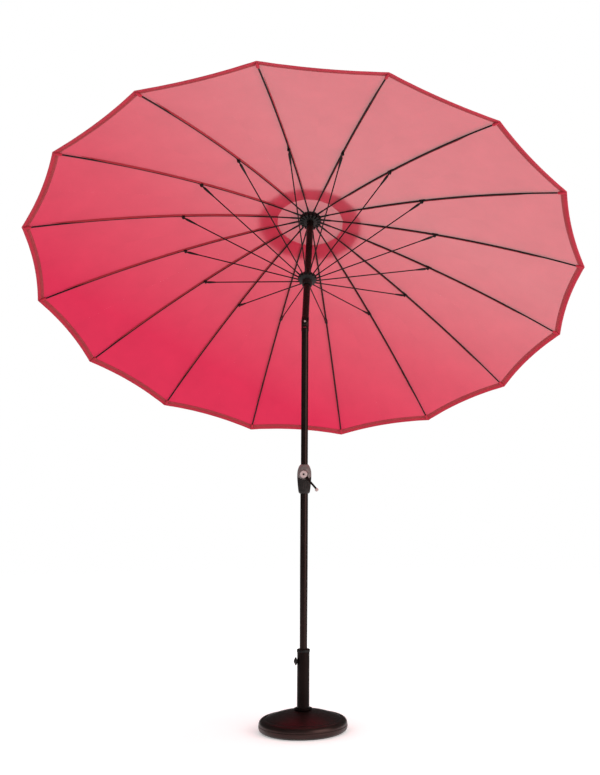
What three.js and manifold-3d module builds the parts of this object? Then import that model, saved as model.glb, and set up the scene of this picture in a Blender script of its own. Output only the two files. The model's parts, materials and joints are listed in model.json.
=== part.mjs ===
// A crank-lift patio umbrella with a tilting top, standing in a round weighted base.
// Millimetres, +Z up, +X to the right, the crank faces -Y and the canopy leans towards +Y.
// The origin is the middle of the base's underside, on the ground.
import * as THREE from 'three';
import { mergeVertices } from 'three/addons/utils/BufferGeometryUtils.js';
import Module from 'manifold-3d';

const wasm = await Module();
wasm.setup();

// ---------------------------------------------------------------- driving dimensions

const TOUCH = 0.3; // gap between pieces that rest on each other
const RUNNING = 0.4; // gap round a pin or shaft that turns

// Weighted base
const baseRadius = 208;
const padRadius = baseRadius - 18;
const padThickness = 4;
const rimWidestZ = 24; // where the rim is widest
const grooveZ = 31; // thin parting line round the rim
const grooveDepth = 2;
const stepRadius = baseRadius - 31; // crease between the rim's ring and the dome
const stepZ = 60;
const domeTopZ = 99; // dome's height where it meets the stem
const coverWall = 4;
const ballastRadius = stepRadius + 5;
const ballastHeight = 33;

// Stem that takes the pole
const stemRadius = 29;
const stemWall = 2.5;
const stemTopZ = 378;
const collarLip = 2; // how far the collar stands out past the stem
const collarHeight = 14;
const flangeRadius = 43;
const flangeThickness = 5;
const knobZ = 322;
const knobTurnDeg = 197; // the knob's direction round the stem, from +X
const knobRadius = 19;
const bossSize = 9.5; // radius of the threaded boss the screw goes through
const bossStands = 4;
const knobLength = 12;
const screwRadius = 4;

// Pole
const upperPoleRadius = 16.5;
const poleWall = 1.2;
const lowerPoleRadius = upperPoleRadius + TOUCH + poleWall; // the upper tube fits into the lower one
const plugHeadHeight = 4; // the foot plug's head, below the tube
const plugHeight = 18;
const tiltHeight = 1912; // the tilt pin above the ground
const tiltDeg = 32;

// Crank
const crankHeight = 1195; // crank shaft above the ground
const housingBelow = 92; // housing's reach below and above the shaft
const housingAbove = 45;
const housingRadius = lowerPoleRadius + 15.5;
const housingWall = 3;
const bossRadius = 21;
const bossFront = 40; // the round boss's face, in front of the pole's axis
const shaftRadius = 5;
const spoolRadius = 10.5;
const spoolHalf = 9.5;
const armLength = 96;
const armDropDeg = 49; // arm's angle below level at rest
const armThickness = 6;
const capRadius = 17;
const capThickness = 8;
const gripRadius = 7.5;
const postRadius = 2.5; // pin on the arm's end that the grip turns on
const gripLength = 40;

// Tilt joint
const knuckleRadius = upperPoleRadius + 1.5;
const knuckleReach = knuckleRadius + 2; // pin to each collar
const collarLength = 18;
const plugLength = 34;
const tongueHalf = 7.5;
const pinRadius = 4;
const buttonRadius = 4.5;
const buttonStands = 3;
const buttonTravel = 3;

// Upper frame, measured along the upper pole from the tilt pin
const hubAbovePin = 675;
const runnerAbovePin = 279;
const hubRadius = 55;
const hubHalf = 16;
const runnerRadius = 46;
const runnerHalf = 10;
const sleeveRadius = knuckleRadius + RUNNING + 5.6;
const sleeveLength = 30;
const hubPivotRadius = 46;
const runnerPivotRadius = 40;
const wireRadius = 1.2;
const pulleyRadius = 10;
const pulleyBore = 2.5;
const pulleyDrop = 34; // pulley's pin below the ribs' pivots
const socketTop = 10; // top of the pole's socket in the hub, above the ribs' pivots
const finialRadius = 22;
const finialHeight = 46;
const studRadius = 7;
const studHeight = 20; // stud's top above the vent's underside at the axis

// Ribs and struts
const ribCount = 16;
const ribPhaseDeg = -5.5;
const ribRadius = 4;
const ribTongue = 6; // thickness of its flat inner end, in the hub's slot
const ribTongueIn = 6; // flat end's reach past the pivot towards the axis
const ribTongueOut = 24;
const ribTongueHalf = 4; // half its height
const ribTipInset = 24; // rib ends this far inside the fabric's corner
const strutRadius = 3;
const strutTongue = 5; // thickness of its flat ends
const strutEye = 4.6; // radius of the eye on the clip's pin
const strutSeatHalf = 3; // half the height of its inner end, in the runner's slot
const runnerFloor = 2; // runner's wall under its slots
const clipRadius = 632;
const clipDrop = 11; // strut's pivot below the rib's middle
const clipPinRadius = 2;
const clipEar = 2.7; // thickness of each ear
const clipGap = 1.1; // ear to eye
const slotGap = 0.6; // each side of a rib or strut in its slot

// Fabric
const canopyRadius = 1350; // axis to a corner
const canopyDepth = 428; // corner below the ribs' pivots
const slopeAtHub = 0.197; // rib's fall for each millimetre outwards, at the hub
const fabricLift = 7.5; // fabric above the rib's middle
const fabricThickness = 1.2;
const canopyHoleRadius = 168;
const scallop = 17; // how far an edge between two corners curves in
const ventRadius = 262;
const ventTop = 27; // vent's underside at the axis, above the ribs' pivots
const ventSlope = 0.176;
const ventThickness = 1.6;
const ventHoleRadius = 10;

// Fineness of round pieces
const ROUND = 36;
const TUBE = 24;
const MEDIUM = 16;
const SMALL = 12;
const FINE = 6; // pins a few millimetres thick

// ---------------------------------------------------------------- helpers

const DEG = Math.PI / 180;
const EPS = 1e-3;
const OPEN = 1; // a cutter runs this far past the face it opens

// Bare closed geometry: vertices shared, flat triangles gone, faces pointing out.
function closed(geometry) {
  const bare = geometry.clone();
  bare.deleteAttribute('normal');
  bare.deleteAttribute('uv');
  const merged = mergeVertices(bare, EPS);
  const place = merged.attributes.position;
  const [a, b, c] = [new THREE.Vector3(), new THREE.Vector3(), new THREE.Vector3()];
  const index = [];
  let volume = 0;
  for (let i = 0; i < merged.index.count; i += 3) {
    const corners = [0, 1, 2].map((k) => merged.index.getX(i + k));
    if (new Set(corners).size < 3) continue;
    index.push(...corners);
    a.fromBufferAttribute(place, corners[0]);
    b.fromBufferAttribute(place, corners[1]);
    c.fromBufferAttribute(place, corners[2]);
    volume += a.dot(b.cross(c));
  }
  if (volume < 0) index.reverse();
  merged.setIndex(index);
  return merged;
}

function toSolid(geometry) {
  const bare = closed(geometry);
  return new wasm.Manifold(new wasm.Mesh({
    numProp: 3,
    vertProperties: new Float32Array(bare.attributes.position.array),
    triVerts: new Uint32Array(bare.index.array),
  }));
}

function fromSolid(solid) {
  const mesh = solid.getMesh();
  const geometry = new THREE.BufferGeometry();
  geometry.setAttribute('position', new THREE.BufferAttribute(mesh.vertProperties, 3));
  geometry.setIndex(new THREE.BufferAttribute(mesh.triVerts, 1));
  return geometry;
}

function join(...geometries) {
  return fromSolid(geometries.map(toSolid).reduce((sum, next) => sum.add(next)));
}

function cut(geometry, ...cutters) {
  return fromSolid(cutters.map(toSolid).reduce((left, next) => left.subtract(next), toSolid(geometry)));
}

function common(first, second) {
  return fromSolid(toSolid(first).intersect(toSolid(second)));
}

// A turned piece about +Z, from [radius, height] points that start and end on the axis.
function turned(profile, sides = TUBE) {
  const points = profile.map(([radius, height]) => new THREE.Vector2(radius, height));
  return closed(new THREE.LatheGeometry(points, sides).rotateX(90 * DEG));
}

// A turned ring about +Z, from [radius, height] points that run once round its section.
function ring(profile, sides = TUBE) {
  return turned([...profile, profile[0]], sides);
}

function disc(radius, low, high, sides = TUBE) {
  return turned([[0, low], [radius, low], [radius, high], [0, high]], sides);
}

function pipe(inner, outer, low, high, sides = TUBE) {
  return ring([[inner, low], [outer, low], [outer, high], [inner, high]], sides);
}

// Round bars along X and Y, between two places on that axis.
function barX(radius, from, to, sides = SMALL) {
  return disc(radius, from, to, sides).rotateY(90 * DEG);
}

function barY(radius, from, to, sides = SMALL) {
  return disc(radius, -to, -from, sides).rotateX(90 * DEG);
}

function block(x, y, z) {
  const box = new THREE.BoxGeometry(x[1] - x[0], y[1] - y[0], z[1] - z[0]);
  return closed(box.translate((x[0] + x[1]) / 2, (y[0] + y[1]) / 2, (z[0] + z[1]) / 2));
}

// Points on an arc in the [radius, height] plane, both ends included.
function arc(centre, radii, fromDeg, toDeg, steps) {
  return Array.from({ length: steps + 1 }, (_, i) => {
    const angle = (fromDeg + ((toDeg - fromDeg) * i) / steps) * DEG;
    return [centre[0] + radii[0] * Math.cos(angle), centre[1] + radii[1] * Math.sin(angle)];
  });
}

// Joins closed rings of points, one after another and the last to the first, into one skin.
function skin(rings) {
  const count = rings[0].length;
  const geometry = new THREE.BufferGeometry().setFromPoints(rings.flat());
  const index = [];
  rings.forEach((_, row) => {
    const next = (row + 1) % rings.length;
    for (let i = 0; i < count; i += 1) {
      const j = (i + 1) % count;
      const corners = [row * count + i, row * count + j, next * count + i, next * count + j];
      index.push(corners[0], corners[1], corners[2], corners[1], corners[3], corners[2]);
    }
  });
  geometry.setIndex(index);
  return closed(geometry);
}

function around(count, make) {
  return Array.from({ length: count }, (_, i) => make(i));
}

// A round rod with SIDES flats, along points that lie in a plane with no Y.
function rod(points, radius, sides = FINE) {
  const sideways = new THREE.Vector3(0, 1, 0);
  const rings = points.map((point, i) => {
    const before = points[Math.max(i - 1, 0)];
    const after = points[Math.min(i + 1, points.length - 1)];
    const up = after.clone().sub(before).normalize().cross(sideways);
    return around(sides, (k) => {
      const angle = ((k + 0.5) / sides) * 2 * Math.PI;
      const corner = point.clone().addScaledVector(sideways, radius * Math.cos(angle));
      return corner.addScaledVector(up, radius * Math.sin(angle));
    });
  });
  const [start, end] = [points[0], points.at(-1)].map((point) => around(sides, () => point.clone()));
  return skin([start, ...rings, end]);
}

// ---------------------------------------------------------------- materials

function finish(color, roughness, metalness) {
  return new THREE.MeshStandardMaterial({ color, roughness, metalness });
}

const blackMetal = () => finish(0x17110f, 0.4, 0.6);
const blackPlastic = () => finish(0x141212, 0.5, 0);
const darkRubber = () => finish(0x1b1b1b, 0.9, 0);
const castIron = () => finish(0x2a2725, 0.7, 0.4);
const bronzePlastic = () => finish(0x5d504e, 0.45, 0.2);
const paleGrey = () => finish(0xb9a9a7, 0.4, 0.1);
const steel = () => finish(0x8c8c8e, 0.35, 0.9);
const glassFibre = () => finish(0x151313, 0.45, 0);
const redFabric = () => finish(0xd9415c, 0.9, 0);

function piece(name, geometry, material) {
  const mesh = new THREE.Mesh(geometry, material);
  mesh.name = name;
  return mesh;
}

// ---------------------------------------------------------------- base

const ballastTopZ = padThickness + TOUCH + ballastHeight;
const stemInner = stemRadius - stemWall;
const flangeTopZ = domeTopZ + TOUCH + flangeThickness;

// Height of the cover's outside over the dome, from the crease in to the axis.
function domeZ(radius) {
  const share = radius / stepRadius;
  return stepZ + (domeTopZ - stepZ) * (1 - share * share);
}

function baseCover() {
  const low = padThickness + TOUCH;
  const rimIn = stepRadius + 4;
  const outside = [
    [baseRadius - 12, low],
    [baseRadius - 4, low + 5],
    [baseRadius, rimWidestZ],
    [baseRadius, grooveZ - 1],
    [baseRadius - grooveDepth, grooveZ],
    [baseRadius - 0.5, grooveZ + 1],
    ...arc([rimIn, grooveZ + 3], [baseRadius - rimIn - 1, stepZ - grooveZ - 3], 15, 90, 3),
    [stepRadius, stepZ - 1],
    ...[0.85, 0.5].map((share) => [stepRadius * share, domeZ(stepRadius * share)]),
    [stemRadius + TOUCH, domeTopZ],
  ];
  const inside = [
    [stemRadius + TOUCH, domeTopZ - coverWall],
    [stepRadius - coverWall, stepZ - coverWall],
    [stepRadius + 12, ballastTopZ - 3],
    [baseRadius - 12 - coverWall, low + 6],
    [baseRadius - 12 - coverWall, low],
  ];
  return ring([...outside, ...inside], ROUND);
}

function stemTube() {
  const tube = pipe(stemInner, stemRadius, ballastTopZ + TOUCH, stemTopZ - collarHeight - TOUCH);
  const foot = pipe(stemInner, stemRadius + 18, ballastTopZ + TOUCH, ballastTopZ + TOUCH + 5);
  const [boss, bore] = [
    barX(bossSize, stemInner + 1, stemRadius + bossStands),
    barX(screwRadius + RUNNING, stemInner - 8, stemRadius + 8),
  ].map((bar) => bar.rotateZ(knobTurnDeg * DEG).translate(0, 0, knobZ));
  return cut(join(tube, foot, boss), bore);
}

function stemFlange() {
  return ring([
    [stemRadius + TOUCH, domeTopZ + TOUCH],
    [flangeRadius, domeTopZ + TOUCH],
    [flangeRadius, domeTopZ + TOUCH + 2],
    [flangeRadius - 4, flangeTopZ],
    [stemRadius + TOUCH, flangeTopZ],
  ]);
}

function stemCollar() {
  const low = stemTopZ - collarHeight;
  return ring([
    [lowerPoleRadius + RUNNING, low - 30],
    [stemInner - TOUCH, low - 30],
    [stemInner - TOUCH, low],
    [stemRadius + collarLip, low],
    [stemRadius + collarLip, stemTopZ - 5],
    [stemRadius - 2, stemTopZ],
    [lowerPoleRadius + RUNNING, stemTopZ],
  ]);
}

// The clamping screw with its pointed hand knob, along +X before it is turned to its place.
function lockingKnob() {
  const start = stemRadius + bossStands + TOUCH;
  const screw = barX(screwRadius, lowerPoleRadius + TOUCH + 0.2, start + 2);
  const cone = turned([
    [0, start],
    [knobRadius - 3, start],
    [knobRadius, start + 3],
    [knobRadius - 1, start + 5],
    [6, start + knobLength],
    [0, start + knobLength + 1],
  ], SMALL).rotateY(90 * DEG);
  const flutes = around(6, (i) => {
    const groove = barX(4, start - OPEN, start + knobLength, 8);
    return groove.translate(0, knobRadius + 1, 0).rotateX(i * 60 * DEG);
  });
  return join(cut(cone, ...flutes), screw);
}

function makeBase() {
  const group = new THREE.Group();
  const ballast = disc(ballastRadius, padThickness + TOUCH, ballastTopZ, ROUND);
  group.add(piece('base_pad', disc(padRadius, 0, padThickness, ROUND), darkRubber()));
  group.add(piece('base_ballast', ballast, castIron()));
  group.add(piece('base_cover', baseCover(), blackMetal()));
  group.add(piece('stem_tube', stemTube(), blackMetal()));
  group.add(piece('stem_flange', stemFlange(), blackMetal()));
  group.add(piece('stem_collar', stemCollar(), blackPlastic()));
  const knob = piece('locking_knob', lockingKnob(), blackPlastic());
  knob.position.z = knobZ;
  knob.rotation.z = knobTurnDeg * DEG;
  group.add(knob);
  return group;
}

// ---------------------------------------------------------------- lower pole and crank

const poleFootZ = ballastTopZ + TOUCH; // the pole stands on the ballast
const lowerPoleTopZ = crankHeight - 22;
const midPoleFootZ = crankHeight - housingBelow - 30;
const forkCollarZ = tiltHeight - knuckleReach - collarLength; // underside of the fork's collar

function footPlug() {
  const inside = lowerPoleRadius - poleWall - TOUCH;
  const headTop = poleFootZ + plugHeadHeight;
  const head = disc(lowerPoleRadius, poleFootZ, headTop);
  return join(head, disc(inside, headTop - OPEN, poleFootZ + plugHeight));
}

function lowerPole() {
  return pipe(lowerPoleRadius - poleWall, lowerPoleRadius, poleFootZ + plugHeadHeight + TOUCH, lowerPoleTopZ);
}

function midPole() {
  const tube = pipe(upperPoleRadius - poleWall, upperPoleRadius, midPoleFootZ, forkCollarZ - TOUCH);
  const bore = barY(shaftRadius + RUNNING, -upperPoleRadius - OPEN, upperPoleRadius + OPEN);
  return cut(tube, bore.translate(0, 0, crankHeight));
}

// The housing's outline about the pole: round-topped, tapering to its foot.
const housingProfile = [
  [0.6, -1],
  [0.78, -0.9],
  [0.88, -0.6],
  [0.97, -0.1],
  [1, 0.3],
  [0.93, 0.62],
  [0.76, 0.86],
  [0.56, 1],
];

function housingBody(inset) {
  const middle = (housingAbove - housingBelow) / 2;
  const half = (housingAbove + housingBelow) / 2 - inset;
  const points = housingProfile.map(([width, height]) => [
    width * housingRadius - inset,
    middle + height * half,
  ]);
  return turned([[0, points[0][1]], ...points, [0, points.at(-1)[1]]]);
}

// Both halves of the crank housing before they are parted, about the shaft's height.
function housingShell() {
  const boss = turned([
    [0, 0], [bossRadius + 3, 0], [bossRadius, bossFront - 4], [bossRadius - 3, bossFront], [0, bossFront],
  ], TUBE).rotateX(90 * DEG);
  const hollow = common(
    housingBody(housingWall),
    disc(housingRadius, -housingBelow + 12, housingAbove - 8),
  );
  const lowerBore = disc(lowerPoleRadius + TOUCH, -housingBelow - OPEN, 0);
  const upperBore = disc(upperPoleRadius + TOUCH, -OPEN, housingAbove + OPEN);
  const shaftBore = barY(shaftRadius + RUNNING, -bossFront - OPEN, 26);
  return cut(join(housingBody(0), boss), hollow, lowerBore, upperBore, shaftBore);
}

function housingHalf(side) {
  const reach = 2 * housingRadius;
  const y = side < 0 ? [-reach, -TOUCH / 2] : [TOUCH / 2, reach];
  const keep = block([-reach, reach], y, [-housingBelow - OPEN, housingAbove + OPEN]);
  return common(housingShell(), keep);
}

function crankShaft() {
  const front = -(bossFront + TOUCH + armThickness);
  const spool = join(
    barY(spoolRadius - 2.5, -spoolHalf, spoolHalf, 16),
    barY(spoolRadius, -spoolHalf, -spoolHalf + 2, 16),
    barY(spoolRadius, spoolHalf - 2, spoolHalf, 16),
  );
  return join(spool, barY(shaftRadius, front, 25, 16));
}

// The flat crank arm, lying along +X before it is turned down to its place.
function crankArm() {
  const outline = new THREE.Shape();
  outline.absarc(0, 0, capRadius - 2, 60 * DEG, 300 * DEG, false);
  outline.lineTo(armLength * 0.42, -5);
  outline.absarc(armLength, 0, 4, 270 * DEG, 450 * DEG, false);
  outline.lineTo(armLength * 0.42, 5);
  outline.closePath();
  const options = { depth: armThickness, bevelEnabled: false, curveSegments: 8 };
  const flat = new THREE.ExtrudeGeometry(outline, options);
  const arm = flat.rotateX(90 * DEG).translate(0, -(bossFront + TOUCH), 0);
  const bore = barY(shaftRadius + TOUCH, -bossFront - armThickness - OPEN, -bossFront + OPEN, 16);
  const post = barY(postRadius, -(bossFront + armThickness + gripLength - 6), -(bossFront + 2), 8);
  return join(cut(arm, bore), post.translate(armLength, 0, 0));
}

function crankCap() {
  const back = bossFront + armThickness + 2 * TOUCH;
  const profile = [[0, back], [capRadius, back], [capRadius, back + capThickness - 2]];
  const face = [[capRadius - 3, back + capThickness], [5, back + capThickness], [5, back + capThickness - 2]];
  return turned([...profile, ...face, [0, back + capThickness - 2]]).rotateX(90 * DEG);
}

function crankKnob() {
  const back = bossFront + armThickness + 2 * TOUCH;
  const grip = turned([
    [0, back],
    [gripRadius - 2, back],
    [gripRadius, back + 4],
    [gripRadius, back + gripLength - 5],
    [gripRadius - 3, back + gripLength],
    [0, back + gripLength],
  ], 16).rotateX(90 * DEG);
  return cut(grip, barY(postRadius + RUNNING, -(back + gripLength - 5), -back + OPEN, 8));
}

function makePoleAndCrank() {
  const group = new THREE.Group();
  group.add(piece('pole_foot_plug', footPlug(), blackPlastic()));
  group.add(piece('lower_pole', lowerPole(), blackMetal()));
  group.add(piece('mid_pole', midPole(), blackMetal()));
  const crank = new THREE.Group();
  crank.position.z = crankHeight;
  crank.add(piece('crank_housing_front', housingHalf(-1), bronzePlastic()));
  crank.add(piece('crank_housing_rear', housingHalf(1), bronzePlastic()));
  crank.add(piece('crank_shaft', crankShaft(), steel()));
  const turning = new THREE.Group();
  turning.rotation.y = armDropDeg * DEG;
  turning.add(piece('crank_arm', crankArm(), blackMetal()));
  turning.add(piece('crank_cap', crankCap(), paleGrey()));
  const knob = piece('crank_knob', crankKnob(), paleGrey());
  knob.position.x = armLength;
  turning.add(knob);
  crank.add(turning);
  group.add(crank);
  return group;
}

// ---------------------------------------------------------------- tilt joint

// A forked or tongued knuckle about the pin, reaching down to its collar.
function knuckle(collarRadius) {
  const head = common(
    barX(knuckleRadius - 1, -knuckleRadius, knuckleRadius, MEDIUM),
    disc(knuckleRadius, -knuckleReach, knuckleRadius),
  );
  const neck = disc(knuckleRadius - 1, -knuckleReach - OPEN, 0);
  const collar = disc(collarRadius, -knuckleReach - collarLength, -knuckleReach);
  const plugRadius = upperPoleRadius - poleWall - TOUCH;
  const plugLow = -knuckleReach - collarLength - plugLength;
  return join(head, neck, collar, disc(plugRadius, plugLow, -knuckleReach - collarLength + OPEN));
}

function tiltFork() {
  const slot = block(
    [-tongueHalf - RUNNING, tongueHalf + RUNNING],
    [-knuckleRadius - OPEN, knuckleRadius + OPEN],
    [-knuckleReach, knuckleRadius + OPEN],
  );
  const bore = barX(pinRadius + TOUCH, -knuckleRadius - OPEN, knuckleRadius + OPEN);
  return cut(knuckle(knuckleRadius), slot, bore);
}

// The tongue stands upside down on the fork: its collar and plug go into the upper pole.
function tiltTongue() {
  const whole = knuckle(knuckleRadius).rotateX(180 * DEG);
  const half = knuckleRadius + OPEN;
  const sides = [-1, 1].map((side) => {
    const x = [side * tongueHalf, side * half].sort((a, b) => a - b);
    return block(x, [-half, half], [-half, knuckleReach]);
  });
  const pinBore = barX(pinRadius + RUNNING, -half, half);
  const socket = barY(buttonRadius + RUNNING, -half, -knuckleRadius + 11);
  return cut(whole, ...sides, pinBore, socket);
}

function tiltButton() {
  const front = -(knuckleRadius - 1 + buttonStands);
  return barY(buttonRadius, front, front + buttonStands + 10 - buttonTravel - 1, 16);
}

// ---------------------------------------------------------------- hub, runner, ribs, struts

const pitchDeg = 360 / ribCount;
const ribReach = canopyRadius - hubPivotRadius;
const ribCurve = ((canopyDepth + fabricLift) / ribReach - slopeAtHub) / ribReach;

// How far the middle of a rib lies below its pivot, at a distance from the axis.
function ribDrop(radius) {
  const out = radius - hubPivotRadius;
  return slopeAtHub * out + ribCurve * out * out;
}

// Distances from the axis where ribs and fabric change direction, so that both bend together.
const fabricStations = [canopyHoleRadius, (canopyHoleRadius + clipRadius) / 2, clipRadius,
  (clipRadius + canopyRadius) / 2, canopyRadius];

const clipPivot = new THREE.Vector3(clipRadius, 0, -ribDrop(clipRadius) - clipDrop);
const runnerPivot = new THREE.Vector3(runnerPivotRadius, 0, runnerAbovePin - hubAbovePin);

// Radial slots for ribs or struts, cut into a hub or runner, from an inner radius outwards.
function slots(width, inner, outer, low, high) {
  return around(ribCount, (i) => {
    const slot = block([inner, outer], [-width / 2, width / 2], [low, high]);
    return slot.rotateZ((ribPhaseDeg + i * pitchDeg) * DEG);
  });
}

function topHub() {
  const shoulderZ = ventTop - ventSlope * finialRadius - TOUCH; // the vent cap rests on it
  const body = turned([
    [0, -hubHalf],
    [hubRadius, -hubHalf],
    [hubRadius, hubHalf - 6],
    [hubRadius - 12, hubHalf],
    [finialRadius, hubHalf],
    [finialRadius, shoulderZ],
    [studRadius, shoulderZ],
    [studRadius, ventTop + studHeight],
    [0, ventTop + studHeight],
  ], 32);
  const poleSocket = disc(upperPoleRadius + TOUCH, -hubHalf - OPEN, socketTop);
  const ribSlots = slots(ribTongue + 2 * slotGap, 34, hubRadius + OPEN, -hubHalf - OPEN, hubHalf - 9);
  const groove = pipe(
    hubPivotRadius - wireRadius - RUNNING, hubPivotRadius + wireRadius + RUNNING,
    -wireRadius - RUNNING, hubHalf + OPEN, 32,
  );
  return cut(body, poleSocket, groove, ...ribSlots);
}

function hubWire() {
  return ring(arc([hubPivotRadius, 0], [wireRadius, wireRadius], 0, 270, 3), 32);
}

// The groove wheel that leads the lift line over the pole's top, turning about X.
function cordPulley() {
  const rim = pulleyRadius;
  const wheel = ring([
    [pulleyBore, -4], [rim, -4], [rim, -2.5], [rim - 3, 0], [rim, 2.5], [rim, 4], [pulleyBore, 4],
  ], SMALL);
  return wheel.rotateY(90 * DEG);
}

// The upper pole, with the pulley's pin across it near the top.
function upperPole() {
  const low = knuckleReach + collarLength + TOUCH;
  const tube = pipe(upperPoleRadius - poleWall, upperPoleRadius, low, hubAbovePin + socketTop - TOUCH);
  const pinHalf = upperPoleRadius - 0.2;
  const pin = barX(pulleyBore - RUNNING - 0.1, -pinHalf, pinHalf, FINE);
  return join(tube, pin.translate(0, 0, hubAbovePin - pulleyDrop));
}

function runner() {
  const bore = knuckleRadius + RUNNING + 0.2;
  const body = ring([
    [bore, -runnerHalf - sleeveLength],
    [sleeveRadius, -runnerHalf - sleeveLength],
    [sleeveRadius, -runnerHalf - 3],
    [runnerRadius - 6, -runnerHalf],
    [runnerRadius, -runnerHalf + 4],
    [runnerRadius, runnerHalf],
    [sleeveRadius + 4, runnerHalf + 4],
    [bore, runnerHalf + 4],
  ], 32);
  const width = strutTongue + 2 * slotGap;
  const floor = -runnerHalf + runnerFloor;
  return cut(body, ...slots(width, sleeveRadius + 5, runnerRadius + OPEN, floor, runnerHalf + 4 + OPEN));
}

function finial() {
  const low = ventTop + ventThickness + TOUCH;
  const body = turned([
    [0, low],
    [finialRadius, low],
    [finialRadius, low + 4],
    [finialRadius * 0.5, low + 9],
    [finialRadius * 0.45, low + 14],
    [finialRadius * 0.75, low + 24],
    [finialRadius * 0.7, low + 34],
    [finialRadius * 0.35, low + finialHeight - 3],
    [0, low + finialHeight],
  ], SMALL);
  return cut(body, disc(studRadius + TOUCH, low - OPEN, ventTop + studHeight + TOUCH, 16));
}

// One rib in the XZ plane, +X outwards, with its hub pivot at z 0.
function ribShape() {
  const end = canopyRadius - ribTipInset;
  const stations = [hubPivotRadius + 10, ...fabricStations.slice(0, -1), end];
  const line = stations.map((radius) => new THREE.Vector3(radius, 0, -ribDrop(radius)));
  const slope = Math.atan(slopeAtHub);
  const half = ribTongue / 2;
  const tongue = block([-ribTongueIn, ribTongueOut], [-half, half], [-ribTongueHalf, ribTongueHalf]);
  const seated = cut(tongue, barY(wireRadius + RUNNING, -half - OPEN, half + OPEN, FINE));
  seated.rotateY(slope).translate(hubPivotRadius, 0, 0);
  return join(seated, rod(line, ribRadius), ribClip());
}

// The clip under a rib: two ears with a pin between them that carries the strut's eye.
function ribClip() {
  const gap = strutTongue / 2 + clipGap;
  const wide = gap + clipEar;
  const slope = Math.atan(slopeAtHub + 2 * ribCurve * (clipRadius - hubPivotRadius));
  const saddle = block([-10, 10], [-wide, wide], [-5.5, ribRadius + 0.2]);
  const ears = [-1, 1].map((side) => {
    const y = [side * gap, side * wide].sort((a, b) => a - b);
    return block([-6, 6], y, [-clipDrop - 5, -5]);
  });
  const pin = barY(clipPinRadius, -gap - OPEN, gap + OPEN, FINE).translate(0, 0, -clipDrop);
  const whole = join(saddle, ...ears, pin).translate(0, 0, clipDrop).rotateY(slope);
  return whole.translate(clipPivot.x, 0, clipPivot.z);
}

// One strut in the XZ plane, from its eye at a rib's clip down to its seat in the runner.
function strutShape() {
  const run = clipPivot.clone().sub(runnerPivot);
  const length = run.length();
  const half = strutTongue / 2;
  const eye = barY(strutEye, -half, half, 8);
  const ends = [-length + 10, 1 - strutEye].map((x) => new THREE.Vector3(x, 0, 0));
  const seat = block([-length - strutSeatHalf, -length + 26], [-half, half], [-strutSeatHalf, strutSeatHalf]);
  const bore = barY(clipPinRadius + RUNNING, -half - OPEN, half + OPEN, FINE);
  const whole = cut(join(eye, rod(ends, strutRadius), seat), bore);
  return whole.rotateY(-Math.atan2(run.z, run.x)).translate(clipPivot.x, 0, clipPivot.z);
}

// ---------------------------------------------------------------- fabric

// Height of the main fabric's underside along a rib.
function fabricZ(radius) {
  return fabricLift - ribDrop(radius);
}

// A closed ring of points round the canopy where ribs stand at RADIUS: straight from rib to
// rib, and pulled in towards the axis by BOW half way between them.
function fabricRing(radius, height, bow, panelSteps) {
  const corners = around(ribCount, (i) => {
    const angle = (ribPhaseDeg + i * pitchDeg) * DEG;
    return new THREE.Vector3(radius * Math.cos(angle), radius * Math.sin(angle), height);
  });
  return corners.flatMap((corner, i) => around(panelSteps, (step) => {
    const share = step / panelSteps;
    const point = corner.clone().lerp(corners[(i + 1) % ribCount], share);
    const flat = Math.hypot(point.x, point.y);
    const inward = bow * 4 * share * (1 - share);
    const scale = (flat - inward) / flat;
    return new THREE.Vector3(point.x * scale, point.y * scale, point.z + inward * fabricSlope(radius));
  }));
}

function fabricSlope(radius) {
  return slopeAtHub + 2 * ribCurve * (radius - hubPivotRadius);
}

function canopy() {
  const under = fabricStations.map((radius) => {
    const share = (radius - canopyHoleRadius) / (canopyRadius - canopyHoleRadius);
    return fabricRing(radius, fabricZ(radius), scallop * share * share, 4);
  });
  const over = under.map((row) => row.map((p) => p.clone().add(new THREE.Vector3(0, 0, fabricThickness))));
  return skin([...under, ...over.reverse()]);
}

function ventCap() {
  const radii = [ventHoleRadius, ventRadius];
  const under = radii.map((radius) => fabricRing(radius, ventTop - ventSlope * radius, 0, 2));
  const over = under.map((row) => row.map((p) => p.clone().add(new THREE.Vector3(0, 0, ventThickness))));
  return skin([...under, ...over.reverse()]);
}

// ---------------------------------------------------------------- assembly

function makeUpperFrame() {
  const tilted = new THREE.Group();
  tilted.position.z = tiltHeight;
  tilted.rotation.x = -tiltDeg * DEG;
  tilted.add(piece('tilt_tongue', tiltTongue(), blackMetal()));
  tilted.add(piece('tilt_button', tiltButton(), paleGrey()));
  tilted.add(piece('upper_pole', upperPole(), blackMetal()));
  const sliding = piece('runner', runner(), blackPlastic());
  sliding.position.z = runnerAbovePin;
  tilted.add(sliding);

  const top = new THREE.Group();
  top.position.z = hubAbovePin;
  top.add(piece('top_hub', topHub(), blackPlastic()));
  top.add(piece('hub_wire', hubWire(), steel()));
  const pulley = piece('cord_pulley', cordPulley(), blackPlastic());
  pulley.position.z = -pulleyDrop;
  top.add(pulley);
  top.add(piece('finial', finial(), blackPlastic()));
  top.add(piece('canopy', canopy(), redFabric()));
  top.add(piece('vent_cap', ventCap(), redFabric()));

  const oneRib = ribShape();
  const oneStrut = strutShape();
  around(ribCount, (i) => {
    const number = String(i + 1).padStart(2, '0');
    const turn = (ribPhaseDeg + i * pitchDeg) * DEG;
    const rib = piece(`rib_${number}`, oneRib, glassFibre());
    const strut = piece(`strut_${number}`, oneStrut, blackMetal());
    rib.rotation.z = turn;
    strut.rotation.z = turn;
    top.add(rib, strut);
  });
  tilted.add(top);
  return tilted;
}

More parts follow.
